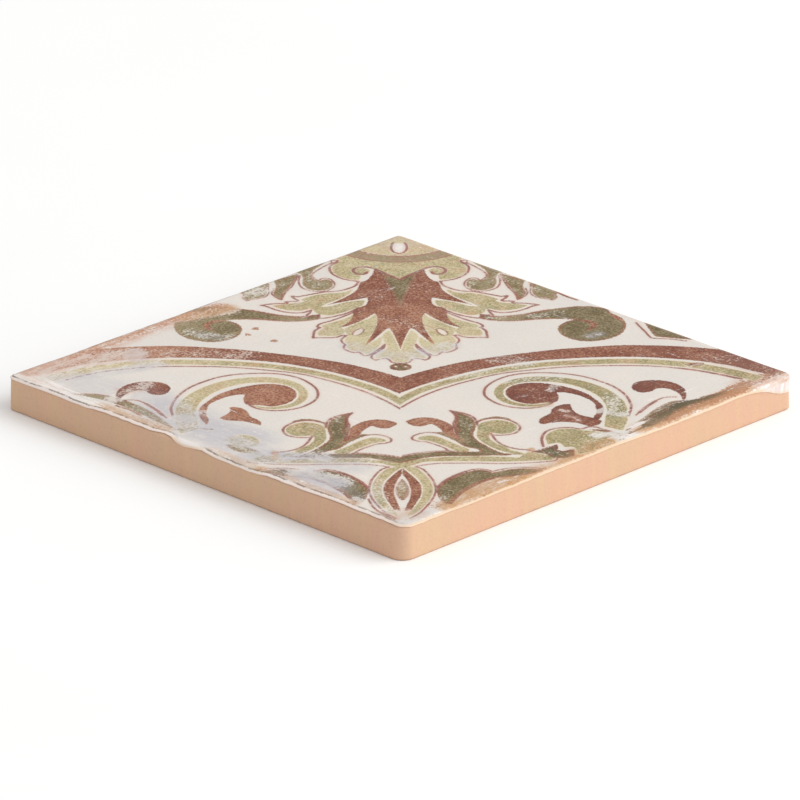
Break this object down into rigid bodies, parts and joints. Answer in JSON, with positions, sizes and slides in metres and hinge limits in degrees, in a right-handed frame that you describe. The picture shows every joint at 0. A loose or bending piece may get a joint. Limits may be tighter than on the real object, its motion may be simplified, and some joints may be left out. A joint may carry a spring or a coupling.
{
  "type": "ceramic tile",
  "caption": "Square decorated ceramic tile with a worn glazed face, rounded corners, an uneven hand-finished rim and bare fired-clay sides, for laying on walls and floors.",
  "frame": {"origin": "middle of the back, on the plane that the tile lies on", "axes": "+Z out of the glazed face, +X and +Y along the sides; the ornament is mirrored about the diagonal from the -X -Y corner, which is nearest the viewer in the picture, to the +X +Y corner"},
  "size_m": [0.15, 0.15, 0.01],
  "materials": {
    "glaze": "satin cream glaze, painted with an ornament in rust brown, olive and light green, worn along the rim",
    "bisque": "bare fired clay, matt, peach to tan"
  },
  "bodies": {
    "root": {"tile": "glaze"}
  },
  "joints": []
}
